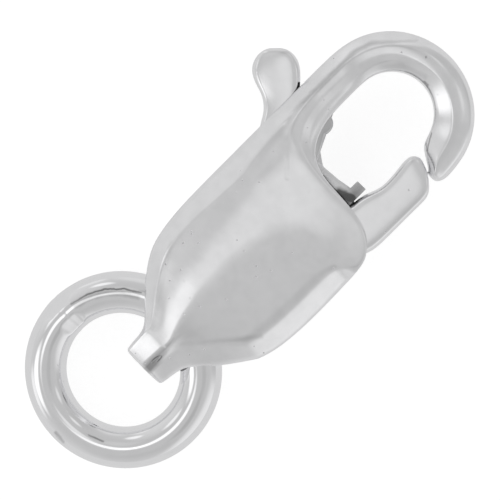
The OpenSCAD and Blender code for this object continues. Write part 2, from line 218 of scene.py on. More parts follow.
# The rows where the neck goes in under the front plate, and how much of the rounding its inner edge keeps there
NECK_ROWS, NECK_EDGE = (3, 4, 5, 6, 7, 8), 0.3
LEVER_ROWS = (
    (-3.71, 8.62, -3.40, 8.93, 0.90, 0.14),
    (-3.79, 8.33, -3.11, 9.01, 0.985, 0.17),
    (-3.72, 8.04, -2.82, 8.95, 1.00, 0.19),
    (-3.55, 7.82, -2.55, 8.74, 1.00, 0.19),
    (-3.24, 7.68, -2.20, 8.34, 1.00, 0.17),
    (-2.95, 7.61, -2.08, 8.14, 1.00, 0.14),
    (-2.70, 7.46, -1.98, 7.99, 1.00, 0.12),
    (-2.48, 7.22, -1.84, 7.84, 1.00, 0.09),
    (-2.34, 6.88, -1.54, 7.56, 1.00, 0.07),
    (-1.80, 6.44, -1.06, 7.10, 1.00, 0.0),
    (-1.16, 5.86, -0.44, 6.62, 1.00, 0.0),
    (-0.72, 5.16, -0.05, 6.56, 1.00, 0.0),
    (0.05, 4.99, 0.33, 6.70, 1.00, 0.0),
    (0.95, 5.40, 0.70, 6.86, 1.00, 0.0),
    (1.75, 5.95, 0.94, 7.04, 1.00, 0.0),
    (2.22, 6.50, 0.96, 7.26, 1.00, 0.0),
    (2.28, 6.95, 0.97, 7.50, 1.00, 0.0),
    (2.28, 7.40, 1.07, 7.80, 1.00, 0.0),
    (2.28, 7.90, 1.19, 8.08, 1.00, 0.0),
    (2.28, 8.30, 1.20, 8.40, 1.00, 0.0),
    (2.29, 8.62, 1.17, 8.74, 1.00, 0.0),
    (2.27, 8.85, 1.13, 9.02, 1.00, 0.0),
    (2.14, 9.03, 1.13, 9.24, 0.99, 0.0),
    (1.96, 9.18, 1.24, 9.40, 0.95, 0.0),
    (1.76, 9.31, 1.44, 9.45, 0.84, 0.0),
)

# The shoulder where the lever shows beside the shank: its radius, its rise above the notch, how far it lies in from
# the lever's front and back, and its foot at the hub
SHOULDER_R, SHOULDER_RISE, SHOULDER_IN = 0.31, 0.96, 0.05
SHOULDER_FOOT = ((-0.55, 6.0), (0.1, 6.2))

# The part of the lever that is in the shank's shade, and how dark the shade painted on it is: x and y from and to
SHADED_X, SHADED_Y, SHADED = (-1.45, -0.7), (7.0, 8.8), 0.35

# The spring's outline from the square end beside the gate, along the notch and back
SPRING_RUN = ((0.93, 7.08), (0.93, 7.77), (0.61, 7.77), (0.61, 7.50), (0.20, 7.43), (-0.66, 7.36), (-0.66, 7.04),
              (0.00, 7.02), (0.50, 7.04))


def use(obj):
    """Makes a piece the only one that is selected, and the active one."""
    bpy.ops.object.select_all(action="DESELECT")
    obj.select_set(True)
    bpy.context.view_layer.objects.active = obj


def add(name, operator, **settings):
    """Adds a primitive with nothing else selected, and names it."""
    bpy.ops.object.select_all(action="DESELECT")
    operator(**settings)
    obj = bpy.context.object
    obj.name = name
    obj.data.name = name
    return obj


def apply(obj, kind, **settings):
    """Adds a modifier with its settings and applies it."""
    use(obj)
    bpy.ops.object.modifier_add(type=kind)
    modifier = obj.modifiers[-1]
    for key, value in settings.items():
        setattr(modifier, key, value)
    bpy.ops.object.modifier_apply(modifier=modifier.name)


def cut(obj, tool, operation="DIFFERENCE"):
    """Cuts a tool out of a piece, or joins it on, and throws the tool away."""
    apply(obj, "BOOLEAN", operation=operation, solver="EXACT", object=tool)
    bpy.data.objects.remove(tool)


def smooth(obj, angle):
    """Shades a piece smooth but for edges sharper than an angle in degrees."""
    use(obj)
    bpy.ops.object.shade_smooth_by_angle(angle=math.radians(angle))


def finished(obj, body, material, node):
    """Puts a piece drawn in millimetres in its place in the row frame, on its body and in its slot."""
    use(obj)
    obj.location = ORIGIN * MM
    obj.scale = (MM, MM, MM)
    bpy.ops.object.transform_apply(location=True, rotation=True, scale=True)
    obj.data.materials.clear()
    obj.data.materials.append(material)
    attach(obj, body)
    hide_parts(node)
    return obj


def skin(name, rings, levels, lines=(), bands=()):
    """Extrudes a filled circle from ring to ring into a closed skin, and smooths it.

    lines crease columns from one row to another, and bands crease part of one row.
    """
    obj = add(name, bpy.ops.mesh.primitive_circle_add, vertices=len(rings[0]), radius=1, fill_type="NGON")
    bpy.ops.object.mode_set(mode="EDIT")
    mesh = bmesh.from_edit_mesh(obj.data)
    row_layer = mesh.verts.layers.int.new("row")
    column_layer = mesh.verts.layers.int.new("column")
    mesh.verts.ensure_lookup_table()
    for column, (vertex, point) in enumerate(zip(mesh.verts, rings[0])):
        vertex[column_layer] = column
        vertex.co = point
    bmesh.update_edit_mesh(obj.data)
    for row, ring in enumerate(rings[1:], 1):
        bpy.ops.mesh.extrude_region_move()
        mesh = bmesh.from_edit_mesh(obj.data)
        row_layer = mesh.verts.layers.int["row"]
        column_layer = mesh.verts.layers.int["column"]
        for vertex in mesh.verts:
            if vertex.select:
                vertex[row_layer] = row
                vertex.co = ring[vertex[column_layer]]
        bmesh.update_edit_mesh(obj.data)
    bpy.ops.mesh.select_all(action="SELECT")
    bpy.ops.mesh.normals_make_consistent(inside=False)
    mesh = bmesh.from_edit_mesh(obj.data)
    row_layer = mesh.verts.layers.int["row"]
    column_layer = mesh.verts.layers.int["column"]
    layer = mesh.edges.layers.float.get("crease_edge") or mesh.edges.layers.float.new("crease_edge")
    for edge in mesh.edges:
        rows = sorted(v[row_layer] for v in edge.verts)
        columns = sorted(v[column_layer] for v in edge.verts)
        for weight, marked, first, last in lines:
            if columns[0] == columns[1] and columns[0] in marked and first <= rows[0] and rows[1] <= last:
                edge[layer] = weight
        for weight, row, first, last in bands:
            if rows[0] == rows[1] == row and first <= columns[0] and columns[1] <= last:
                edge[layer] = weight
    bmesh.update_edit_mesh(obj.data)
    bpy.ops.object.mode_set(mode="OBJECT")
    apply(obj, "SUBSURF", levels=levels, render_levels=levels)
    return obj


def plate(name, outline, low, high):
    """A flat plate: a filled circle shaped to an outline and extruded up."""
    obj = add(name, bpy.ops.mesh.primitive_circle_add, vertices=len(outline), radius=1, fill_type="NGON")
    bpy.ops.object.mode_set(mode="EDIT")
    mesh = bmesh.from_edit_mesh(obj.data)
    for vertex, (x, y) in zip(mesh.verts, outline):
        vertex.co = (x, y, low)
    bmesh.update_edit_mesh(obj.data)
    bpy.ops.mesh.extrude_region_move(TRANSFORM_OT_translate={"value": (0, 0, high - low)})
    bpy.ops.mesh.select_all(action="SELECT")
    bpy.ops.mesh.normals_make_consistent(inside=False)
    bpy.ops.object.mode_set(mode="OBJECT")
    return obj


def rod(name, radius, low, high, sides=64):
    """A round rod on the pin's axis, from one height to another."""
    return add(name, bpy.ops.mesh.primitive_cylinder_add, vertices=sides, radius=radius, depth=high - low,
               location=(PIN_X, PIN_Y, (high + low) / 2))


def arc(x, y, radius, start, end, steps):
    """Points along an arc round a place, between two angles in degrees."""
    angles = [math.radians(start + (end - start) * step / steps) for step in range(steps + 1)]
    return [(x + radius * math.cos(a), y + radius * math.sin(a)) for a in angles]


def claw_sections():
    """The claw's sections from tail to tip, each like a row of BODY_ROWS with the right rim's bulge at its end."""
    made = []
    for row in BODY_ROWS:
        made.append((row[0] * HALF_W, row[1] * BODY_L, row[2] * HALF_W, row[3] * BODY_L) + row[4:] + (BODY_BULGE,))
    for left_y, right_x, right_y, *rest in NOTCH_ROWS:
        across = SHANK_X + right_x * (HALF_W - SHANK_X)
        made.append((-HALF_W, BODY_L + left_y * NOTCH_RISE, across, BODY_L + right_y * NOTCH_RISE, *rest,
                     NOTCH_BULGE))
    inner = OPENING_W / 2
    for step, (swell, border, high, ridge, lean) in enumerate(HOOK_ROWS):
        angle = math.radians(180 - HOOK_STEP * step)
        c, s = math.cos(angle), math.sin(angle)
        outer = inner + HOOK_W * (1 - HOOK_CROWN * s * s)
        rim = (HOOK_RIM + RIM_GROWTH * step) * HOOK_W
        # From 60 degrees to 120 the crest moves over to the inner rim
        inward = min(max((step - 4) / 4, 0), 1)
        crest = HOOK_CREST + inward * (1 - rim / HOOK_W - RIM_GAP - HOOK_CREST)
        rim_high = HOOK_HIGH + HOOK_GAIN * inward
        made.append((HOOK_X + outer * c, HOOK_Y + outer * s, HOOK_X + inner * c, HOOK_Y + inner * s,
                     swell * HOOK_T / BODY_T, HOOK_EDGE, rim_high - RIM_FALL * rim, high, rim_high,
                     border * HOOK_W, rim, ridge, crest, lean, HOOK_BULGE))
    outer_x = HOOK_X + inner + HOOK_W
    for outer_in, outer_y, inner_in, inner_y, thick in TIP_ROWS:
        left, right = outer_x - outer_in * HOOK_W, outer_x - HOOK_W + inner_in * HOOK_W
        made.append((left, HOOK_Y - outer_y * TIP_DROP, right, HOOK_Y - inner_y * TIP_DROP,
                     thick * HOOK_T / BODY_T, *TIP_HEIGHTS, *(share * (left - right) for share in TIP_RIMS),
                     *TIP_TOP, HOOK_BULGE))
    return made


def claw_ring(section):
    """The points of one section of the claw, up its front from the left and back under it."""
    (left_x, left_y, right_x, right_y, thick, edge_left, edge_right, high_left, high_right, rim_left, rim_right,
     ridge, crest, lean, bulge) = section
    across = math.hypot(right_x - left_x, right_y - left_y)
    rim_left, rim_right = rim_left / across, rim_right / across
    left = [(0, edge_left), (rim_left / 2, edge_left + (high_left - edge_left) * LEFT_BULGE), (rim_left, high_left)]
    right = [(1 - rim_right, high_right), (1 - rim_right / 2, edge_right + (high_right - edge_right) * bulge),
             (1, edge_right)]
    left_mid, right_mid = (rim_left + ridge) / 2, (crest + 1 - rim_right) / 2
    front = [(left_mid, (high_left + 1 - lean) / 2), (ridge, 1 - lean), (crest, 1),
             (right_mid, (1 + high_right) / 2)]
    under = [(right_mid, -1), (crest, -1), (ridge, -1), (left_mid, -1)]
    outline = left + front + right
    outline += [(u, -w) for u, w in reversed(right)] + under + [(u, -w) for u, w in reversed(left)]
    return [(left_x + (right_x - left_x) * u, left_y + (right_y - left_y) * u, MID_Z + thick * MID_Z * w)
            for u, w in outline]


def make_claw(settings):
    """Casts the claw, mills its slot, and bores its eye and pin hole."""
    sections = claw_sections()
    last, neck = len(sections) - 1, len(BODY_ROWS) - 1
    # Weight, columns, first row, last row. The edges are columns 0, 9, 10 and 19, the left border's crease is 2, the
    # ridge and crest are 4 and 5, the right border's crease is 7, and 12 and 17 are the same creases underneath
    lines = ((0.75, (0, 9, 10, 19), 0, last), (0.4, (12, 17), 0, last),
             (0.5, (2,), 0, neck + 16), (0.7, (2,), 4, neck - 2), (0.8, (2,), neck + 5, neck + 17),
             (0.9, (5,), 0, neck - 3), (0.55, (5,), neck - 3, neck), (0.3, (4, 5), neck + 7, neck + 17),
             (0.5, (7,), 0, last), (0.85, (7,), 4, neck - 1), (0.6, (7,), neck + 4, neck + 14),
             (0.65, (7,), neck + 14, last))
    # Weight, row, first column, last column: the tail's facet and the end of the right border's facet
    bands = ((0.7, 3, 2, 7), (0.7, 1, 2, 7), (0.8, 6, 7, 9))
    claw = skin("claw", [claw_ring(s) for s in sections], settings.smoothness, lines, bands)
    low, high = MID_Z - SLOT_T / 2, MID_Z + SLOT_T / 2
    cut(claw, plate("ledge", ledge_outline(), low - LEDGE_T, low), "UNION")
    cut(claw, plate("slot", slot_outline(), low, high))
    eye = add("eye", bpy.ops.mesh.primitive_torus_add, major_radius=RING_R, minor_radius=EYE_R, major_segments=160,
              minor_segments=64, location=(0, EYE_Y - RING_R, MID_Z))
    cut(claw, eye)
    cut(claw, rod("bore", PIN_R + PIN_FIT, -1, high + PIN_GRIP + PIN_FIT))
    dent = add("dent", bpy.ops.mesh.primitive_uv_sphere_add, segments=32, ring_count=16, radius=DENT_R,
               location=DENT_AT, scale=DENT_STRETCH)
    bpy.ops.object.transform_apply(location=False, rotation=False, scale=True)
    cut(claw, dent)
    mark_inside(claw, low, high)
    smooth(claw, 32)
    # The claw's silver carries painted shade, from its streaks and from its "inside" attribute
    material = silver("body_silver", settings, 1.0, 1.45, BODY_PAINTED_SHADE, SCRATCH, marked=True, dulled=True)
    return finished(claw, "claw", material, "claw_body")


def in_slot(normal, height, low, high):
    """Whether a face is part of the slot's floor or ceiling."""
    return abs(normal.z) > 0.99 and min(abs(height - low), abs(height - high)) < NEAR


def mark_inside(claw, low, high):
    """Writes painted shade in the slot and by the tail, and the dull slot and eye, where nothing polishes them."""
    use(claw)
    bpy.ops.object.mode_set(mode="EDIT")
    bpy.ops.mesh.select_all(action="DESELECT")
    mesh = bmesh.from_edit_mesh(claw.data)
    for face in mesh.faces:
        face.select_set(in_slot(face.normal, face.calc_center_median().z, low, high))
    bmesh.update_edit_mesh(claw.data)
    bpy.ops.mesh.bisect(plane_co=(INSIDE_X, 0, 0), plane_no=(1, 0, 0))
    bpy.ops.mesh.select_all(action="DESELECT")
    bpy.ops.object.mode_set(mode="OBJECT")
    # Painted shade: full on the slot's ceiling and on its floor right of INSIDE_X, elsewhere the dark streak by the
    # tail
    painted_shade, dull = [], []
    for face in claw.data.polygons:
        x, y, z = face.center
        flat = in_slot(face.normal, z, low, high)
        deep = flat and (x > INSIDE_X or z > MID_Z)
        from_wire = math.hypot(math.hypot(x, y - (EYE_Y - RING_R)) - RING_R, z - MID_Z)
        for index in face.vertices:
            painted_shade.append(1.0 if deep else tail_painted_shade(claw.data.vertices[index].co))
            dull.append(1.0 if flat or from_wire < EYE_R + 2 * NEAR else 0.0)
    for name, values in (("inside", painted_shade), ("dull", dull)):
        claw.data.attributes.new(name, "FLOAT", "CORNER").data.foreach_set("value", values)


def tail_painted_shade(point):
    """How dark the painted shade is beside the tail's bright facet: a streak that widens to the tail's end."""
    down = TAIL_SHADE_TOP - point.y
    if point.z < MID_Z + 0.3 or not 0 < down < TAIL_SHADE_TOP:
        return 0.0
    middle_x = TAIL_SHADE_X[0] + TAIL_SHADE_X[1] * min(down / 0.9, 1)
    half = TAIL_SHADE_HALF[0] + TAIL_SHADE_HALF[1] * min(down, 1)
    across = max(0.0, 1 - abs(point.x - middle_x) / half)
    return min(1.0, 1.6 * across) * (TAIL_SHADE_STRENGTH[0] + TAIL_SHADE_STRENGTH[1] * min(down, 1) ** 1.4)


def slot_outline():
    """The slot's plan: round the pin below, and open to the left and right above that."""
    below = arc(PIN_X, PIN_Y, SLOT_R, *SLOT_ARC, 40)
    top = BODY_L + SLOT_TOP
    left, right = (-SLOT_REACH, below[0][1]), (SLOT_REACH, below[-1][1])
    return [(-SLOT_REACH, top), left] + below + [right, (SLOT_REACH, top)]


def ledge_outline():
    """The ledge's plan: along the notch's edge inside, and a little past it outside."""
    edge = []
    for _, right_x, right_y, *_ in NOTCH_ROWS:
        if right_x < 0.92 and right_y < 1:
            edge.append(Vector((SHANK_X + right_x * (HALF_W - SHANK_X), BODY_L + right_y * NOTCH_RISE)))
    inside = [p - Vector((LEDGE_W, LEDGE_W)) for p in edge]
    outside = [edge[-1]]
    for i in range(len(edge) - 2, 0, -1):
        along = (edge[i + 1] - edge[i - 1]).normalized()
        outside.append(edge[i] + LEDGE_W * Vector((along.y, -along.x)))
    return inside + outside + [edge[0]]


def make_lever(settings):
    """Shapes the lever from knob to gate, adds its shoulder and bores it for the pin."""
    profile = [(0, 0), (0, 0.62), (0.05, 0.94), (0.14, 1), (0.5, 1), (0.86, 1), (0.95, 0.94), (1, 0.62)]
    round_outline = profile + [(1 - u, -w) for u, w in profile]
    neck_outline = [(u if u < 0.9 else 1 - NECK_EDGE * (1 - u), w) for u, w in round_outline]
    rings = []
    for row, (outer_x, outer_y, inner_x, inner_y, swell, dome) in enumerate(LEVER_ROWS):
        ring = []
        for u, w in neck_outline if row in NECK_ROWS else round_outline:
            height = swell * LEVER_T / 2 * w * (1 - dome * ((DOME_AT - u) / DOME_AT) ** 2)
            ring.append((outer_x + (inner_x - outer_x) * u, outer_y + (inner_y - outer_y) * u, MID_Z + height))
        rings.append(ring)
    lever = skin("lever", rings, settings.smoothness)
    lobe = arc(SHANK_X, BODY_L + SHOULDER_RISE, SHOULDER_R, -30, 150, 24)
    half = LEVER_T / 2 - SHOULDER_IN
    shoulder = plate("shoulder", lobe + list(SHOULDER_FOOT), MID_Z - half, MID_Z + half)
    apply(shoulder, "BEVEL", width=0.1, segments=3, limit_method="ANGLE", angle_limit=math.radians(60))
    cut(lever, shoulder, "UNION")
    cut(lever, rod("bore", PIN_R + PIN_PLAY, MID_Z - 1.5, MID_Z + 1.5))
    # Painted shade where the shank shades the lever
    values = []
    for vertex in lever.data.vertices:
        x, y = vertex.co.xy
        values.append(SHADED if SHADED_X[0] < x < SHADED_X[1] and SHADED_Y[0] < y < SHADED_Y[1] else 0.0)
    lever.data.attributes.new("inside", "FLOAT", "POINT").data.foreach_set("value", values)
    smooth(lever, 32)
    # The lever's silver takes its painted shade from the "inside" attribute
    material = silver("lever_silver", settings, 0.7, 1.2, marked=True)
    return finished(lever, "lever", material, "trigger_lever")


def make_pin(settings):
    """Turns the pin, with a small chamfer on both ends."""
    low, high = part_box("pivot_pin")
    pin = rod("pin", PIN_R, low.z / MM, high.z / MM, 96)
    bpy.ops.object.transform_apply(location=True, rotation=True, scale=True)
    apply(pin, "BEVEL", width=0.04, segments=3, limit_method="ANGLE", angle_limit=math.radians(60))
    smooth(pin, 40)
    return finished(pin, "claw", silver("pin_silver", settings, 0.5, 1.0), "pivot_pin")


def make_spring(settings):
    """Bends the strip along the notch up to its square end beside the gate."""
    spring = plate("spring", SPRING_RUN, MID_Z - SPRING_H / 2, MID_Z + SPRING_H / 2)
    apply(spring, "BEVEL", width=0.02, segments=2, limit_method="ANGLE", angle_limit=math.radians(30))
    smooth(spring, 40)
    return finished(spring, "lever", steel("spring_steel", settings), "leaf_spring")


def make_ring(settings):
    """Closes the ring's wire and leans it from the eye down to the floor."""
    centre = middle("jump_ring") - ORIGIN
    tilt = math.asin((MID_Z - WIRE_R) / (2 * RING_R))
    ring = add("ring", bpy.ops.mesh.primitive_torus_add, major_radius=RING_R, minor_radius=WIRE_R,
               major_segments=256, minor_segments=96, location=centre, rotation=(tilt, 0, 0))
    bpy.ops.object.transform_apply(location=True, rotation=True, scale=True)
    solder(ring, centre, tilt)
    bpy.ops.object.shade_smooth()
    # The ring's silver carries painted dark reflections above RING_FRONT
    material = silver("ring_silver", settings, 0.4, 0.55, RING_PAINTED_REFLECTIONS, above=RING_FRONT)
    return finished(ring, "claw", material, "jump_ring")


def solder(ring, centre, tilt):
    """Files the soldered seam: two flats along the wire, a little unevenness, and a fine line in its middle."""
    across, up = Vector((0, math.cos(tilt), math.sin(tilt))), Vector((0, -math.sin(tilt), math.cos(tilt)))
    use(ring)
    bpy.ops.object.mode_set(mode="EDIT")
    mesh = bmesh.from_edit_mesh(ring.data)
    for vertex in mesh.verts:
        away = vertex.co - centre
        turned = math.atan2(away.dot(across), away.x)
        along = (math.degrees(turned) % 360 - SEAM_ANGLE) / 180 * math.pi * RING_R
        if abs(along) > SEAM_REACH:
            continue
        radial = math.cos(turned) * Vector((1, 0, 0)) + math.sin(turned) * across
        offset = away - radial * RING_R
        outward = offset.normalized()
        fade = min(max((abs(along) - SEAM_HALF) / SEAM_END, 0), 1)
        for lean, depth in SEAM_FLATS:
            face = math.cos(lean) * up + math.sin(lean) * radial
            over = offset.dot(face) - (WIRE_R - depth * (1 - fade))
            if over > 0:
                vertex.co -= face * over
        lump = math.sin(along * 9 + outward.z * 3) * 0.35 + math.cos(outward.x * 6 + outward.y * 4) * 0.4
        swell = SEAM_RISE * math.exp(-(along / SEAM_SPREAD) ** 2) * (0.3 + lump)
        groove = GROOVE_DEPTH * math.exp(-(along / GROOVE_SPREAD) ** 2)
        vertex.co += outward * (swell - groove)
    bmesh.update_edit_mesh(ring.data)
    bpy.ops.object.mode_set(mode="OBJECT")


def nodes_of(material):
    """Empties a material's or world's tree and returns it."""
    material.use_nodes = True
    tree = material.node_tree
    tree.nodes.clear()
    return tree


def put(tree, kind, x, y, **settings):
    """Adds a node at a place, with its properties and input values."""
    node = tree.nodes.new(kind)
    node.location = (x, y)
    for key, value in settings.items():
        if key in node.inputs and not hasattr(type(node), key):
            node.inputs[key].default_value = value
        else:
            setattr(node, key, value)
    return node


def feed(tree, value, socket):
    """Links a socket to an input, or sets the input's value."""
    if isinstance(value, bpy.types.NodeSocket):
        tree.links.new(value, socket)
    else:
        socket.default_value = value


def maths(tree, operation, x, y, *values, **settings):
    """Adds a sum over sockets and numbers, and returns its result."""
    node = put(tree, "ShaderNodeMath", x, y, operation=operation, **settings)
    for socket, value in zip(node.inputs, values):
        feed(tree, value, socket)
    return node.outputs[0]


def vector_maths(tree, operation, x, y, *values, scale=None):
    """Adds a sum over vectors, and returns its result."""
    node = put(tree, "ShaderNodeVectorMath", x, y, operation=operation)
    for socket, value in zip(node.inputs, values):
        feed(tree, value, socket)
    if scale is not None:
        feed(tree, scale, node.inputs["Scale"])
    return node.outputs["Value" if operation in ("DOT_PRODUCT", "LENGTH") else "Vector"]


def remap(tree, x, y, value, from_low, from_high, to_low, to_high, kind="LINEAR"):
    """Maps a value from one range to another, and returns the result."""
    node = put(tree, "ShaderNodeMapRange", x, y, interpolation_type=kind)
    for key, given in (("Value", value), ("From Min", from_low), ("From Max", from_high), ("To Min", to_low),
                       ("To Max", to_high)):
        feed(tree, given, node.inputs[key])
    return node.outputs["Result"]


def blend(tree, x, y, factor, first, second):
    """Mixes two colours, and returns the result."""
    node = put(tree, "ShaderNodeMix", x, y, data_type="RGBA")
    for key, value in (("Factor", factor), ("A", first), ("B", second)):
        feed(tree, value, node.inputs[key])
    return node.outputs["Result"]


def noise(tree, x, y, place, scale, output="Fac", **settings):
    """Adds a cloudy noise at a scale, and returns one of its outputs."""
    node = put(tree, "ShaderNodeTexNoise", x, y, Scale=scale, **settings)
    feed(tree, place, node.inputs["Vector"])
    return node.outputs[output]


# Depths of the wear in metres: the cast pits, the rubbing marks, the waves of the polish, and a scratch. RAGGED is
# how far the noise shifts the edge of a streak, in metres
PIT_DEPTH, MARK_DEPTH, WAVE_DEPTH = -0.000008, 0.0000006, 0.000024
SCRATCH_DEPTH = -0.000003
RAGGED = 0.00006
# How fine the patterns are, as their noise's scale: pits, their patches, rubbing marks, waves, clouds of tarnish, and
# the grain of the steel
PITS, PATCHES, MARKS, WAVES, CLOUDS, GRAIN = 3400, 700, 7000, 420, 2300, 5000
# How metallic a surface is where nothing polishes it
DULL_METAL = 0.45
# A piece with more wear than this has rubbing marks to match, and any other has faint ones
RUBBED, FAINT = 0.4, 0.1


def shared(name, fill):
    """A group of nodes that the pieces share, filled at its first use."""
    if name not in bpy.data.node_groups:
        fill(bpy.data.node_groups.new(name, "ShaderNodeTree"))
    return bpy.data.node_groups[name]


def sockets(tree, way, kind, *labels):
    """Adds sockets of one kind to a group, and returns them."""
    return [tree.interface.new_socket(name=label, in_out=way, socket_type=kind) for label in labels]


def wear(tree):
    """The wear of the silver: cast pits, fine rubbing marks and a slow unevenness of the polish."""
    amounts = sockets(tree, "INPUT", "NodeSocketFloat", "Pits", "Marks", "Waves", "Haze")
    for socket, most in zip(amounts, (2, 2, 2, 4)):
        socket.default_value, socket.min_value, socket.max_value = 1.0, 0, most
    sockets(tree, "OUTPUT", "NodeSocketFloat", "Height", "Roughness", "Tone")
    inputs = put(tree, "NodeGroupInput", -900, 0).outputs
    outputs = put(tree, "NodeGroupOutput", 900, 0).inputs
    place = put(tree, "ShaderNodeTexCoord", -1100, -300).outputs["Object"]

    # Pits, where the patches are
    cells = put(tree, "ShaderNodeTexVoronoi", -700, 300, Scale=PITS)
    feed(tree, place, cells.inputs["Vector"])
    pits = remap(tree, -500, 300, cells.outputs["Distance"], 0.04, 0.12, 1, 0, "SMOOTHSTEP")
    patches = remap(tree, -500, 60, noise(tree, -700, 60, place, PATCHES, Detail=2), 0.46, 0.60, 0, 1, "SMOOTHSTEP")
    pits = maths(tree, "MULTIPLY", -120, 200, maths(tree, "MULTIPLY", -300, 200, pits, patches), inputs["Pits"])

    # Rubbing marks, long and all one way, then the polish's waves and the tarnish
    stretch = put(tree, "ShaderNodeMapping", -900, -300, Rotation=(0, 0, math.radians(50)), Scale=(0.12, 1.6, 1))
    feed(tree, place, stretch.inputs["Vector"])
    marks = noise(tree, -700, -300, stretch.outputs["Vector"], MARKS, Detail=3)
    marks = maths(tree, "MULTIPLY", -120, -300, marks, inputs["Marks"])
    uneven = noise(tree, -700, -600, place, WAVES, Detail=3, Roughness=0.35)
    waves = maths(tree, "MULTIPLY", -120, -600, uneven, inputs["Waves"])
    clouds = remap(tree, -500, -900, noise(tree, -700, -900, place, CLOUDS, Detail=5), 0.4, 0.65, 0, 0.15)
    clouds = maths(tree, "MULTIPLY", -300, -900, clouds, inputs["Waves"])

    depths = [maths(tree, "MULTIPLY", 120, y, source, depth)
              for source, depth, y in ((pits, PIT_DEPTH, 200), (marks, MARK_DEPTH, -100), (waves, WAVE_DEPTH, -400))]
    height = maths(tree, "ADD", 500, 0, maths(tree, "ADD", 320, 100, *depths[:2]), depths[2])
    feed(tree, height, outputs["Height"])
    haze = maths(tree, "MULTIPLY", 420, -500, remap(tree, 320, -300, uneven, 0.3, 0.7, 0.12, 0.16), inputs["Haze"])
    feed(tree, maths(tree, "MULTIPLY_ADD", 520, -300, pits, 0.3, haze), outputs["Roughness"])
    feed(tree, maths(tree, "MAXIMUM", 700, -700, pits, clouds), outputs["Tone"])


def streak(tree):
    """A soft line between two places on the front, with its own strength at each end."""
    sockets(tree, "INPUT", "NodeSocketVector", "Start", "End")
    sockets(tree, "INPUT", "NodeSocketFloat", "Width", "Start Strength", "End Strength", "Above")
    sockets(tree, "OUTPUT", "NodeSocketFloat", "Mask")
    inputs = put(tree, "NodeGroupInput", -1300, 0).outputs
    outputs = put(tree, "NodeGroupOutput", 1100, 0).inputs
    place = put(tree, "ShaderNodeTexCoord", -1500, -300).outputs["Object"]

    # The place on the surface, seen from above and shifted a little, so that the streak is ragged
    ragged = noise(tree, -1300, -500, place, 6000, "Color")
    flat = vector_maths(tree, "MULTIPLY", -1100, -300, place, (1, 1, 0))
    shifted = vector_maths(tree, "MULTIPLY_ADD", -1100, -500, ragged, (RAGGED, RAGGED, 0), flat)
    centred = vector_maths(tree, "SUBTRACT", -900, -300, shifted, (RAGGED / 2, RAGGED / 2, 0))

    # How far along the line it is, and how far off it
    away = vector_maths(tree, "SUBTRACT", -700, 100, centred, inputs["Start"])
    run = vector_maths(tree, "SUBTRACT", -900, 300, inputs["End"], inputs["Start"])
    along = vector_maths(tree, "DOT_PRODUCT", -500, 200, away, run)
    whole = vector_maths(tree, "DOT_PRODUCT", -500, 400, run, run)
    share = maths(tree, "DIVIDE", -300, 300, along, whole, use_clamp=True)
    foot = vector_maths(tree, "SCALE", -100, 300, run, scale=share)
    off = vector_maths(tree, "LENGTH", 300, 200, vector_maths(tree, "SUBTRACT", 100, 200, away, foot))

    soft = remap(tree, 500, 200, off, 0, inputs["Width"], 1, 0, "SMOOTHSTEP")
    strength = remap(tree, 300, -100, share, 0, 1, inputs["Start Strength"], inputs["End Strength"])
    parts = put(tree, "ShaderNodeSeparateXYZ", 300, -400)
    feed(tree, place, parts.inputs["Vector"])
    front = maths(tree, "GREATER_THAN", 500, -400, parts.outputs["Z"], inputs["Above"])
    amount = maths(tree, "MULTIPLY", 700, 0, soft, strength)
    feed(tree, maths(tree, "MULTIPLY", 900, 0, amount, front), outputs["Mask"])


def streaks(tree, rows, above, base=None):
    """The strongest of a base mask and some soft streaks, each from start to end in millimetres."""
    total = base
    for index, (start, end, width, first, last) in enumerate(rows):
        y = 800 + 200 * index
        line = put(tree, "ShaderNodeGroup", -700, y, node_tree=shared("Soft streak", streak))
        places = [((ORIGIN.x + px) * MM, (ORIGIN.y + py) * MM, 0) for px, py in (start, end)]
        for socket, value in zip(line.inputs, (*places, width * MM, first, last, above * MM)):
            socket.default_value = value
        mask = line.outputs["Mask"]
        total = mask if total is None else maths(tree, "MAXIMUM", -450, y, mask, total)
    return total


# Painted shade and dark reflections: where a streak starts and ends, how far it reaches to each side, and its
# strength at both ends
# Painted on the body: shade along its creases, and dark reflections on the hook and by the tail
BODY_PAINTED_SHADE = (
    ((-1.95, 8.2), (-1.95, 10.2), 0.12, 0.36, 0.40),
    ((-1.95, 10.2), (-1.78, 10.70), 0.11, 0.40, 0.30),
    ((-1.78, 10.70), (-1.42, 11.10), 0.10, 0.30, 0.22),
    ((-1.42, 11.10), (-0.95, 11.62), 0.07, 0.22, 0.12),
    ((-1.95, 8.2), (-1.84, 7.2), 0.16, 0.28, 0.14),
    ((-1.84, 7.2), (-1.72, 6.3), 0.20, 0.14, 0.06),
    ((-1.72, 6.3), (-1.52, 5.0), 0.24, 0.06, 0.00),
    ((-1.79, 2.97), (-0.72, 1.30), 0.12, 0.07, 0.07),
    ((1.74, 2.90), (0.38, 1.24), 0.12, 0.16, 0.07),
    ((1.12, 10.12), (1.36, 9.69), 0.035, 0.60, 0.60),
    ((-0.47, 11.47), (-0.45, 11.45), 0.04, 0.50, 0.50),
    ((-1.12, 10.45), (-0.75, 10.85), 0.12, 0.05, 0.12),
    ((-0.75, 10.85), (-0.10, 11.08), 0.12, 0.12, 0.12),
    ((-0.02, 10.97), (0.12, 10.965), 0.05, 0.55, 0.55),
)
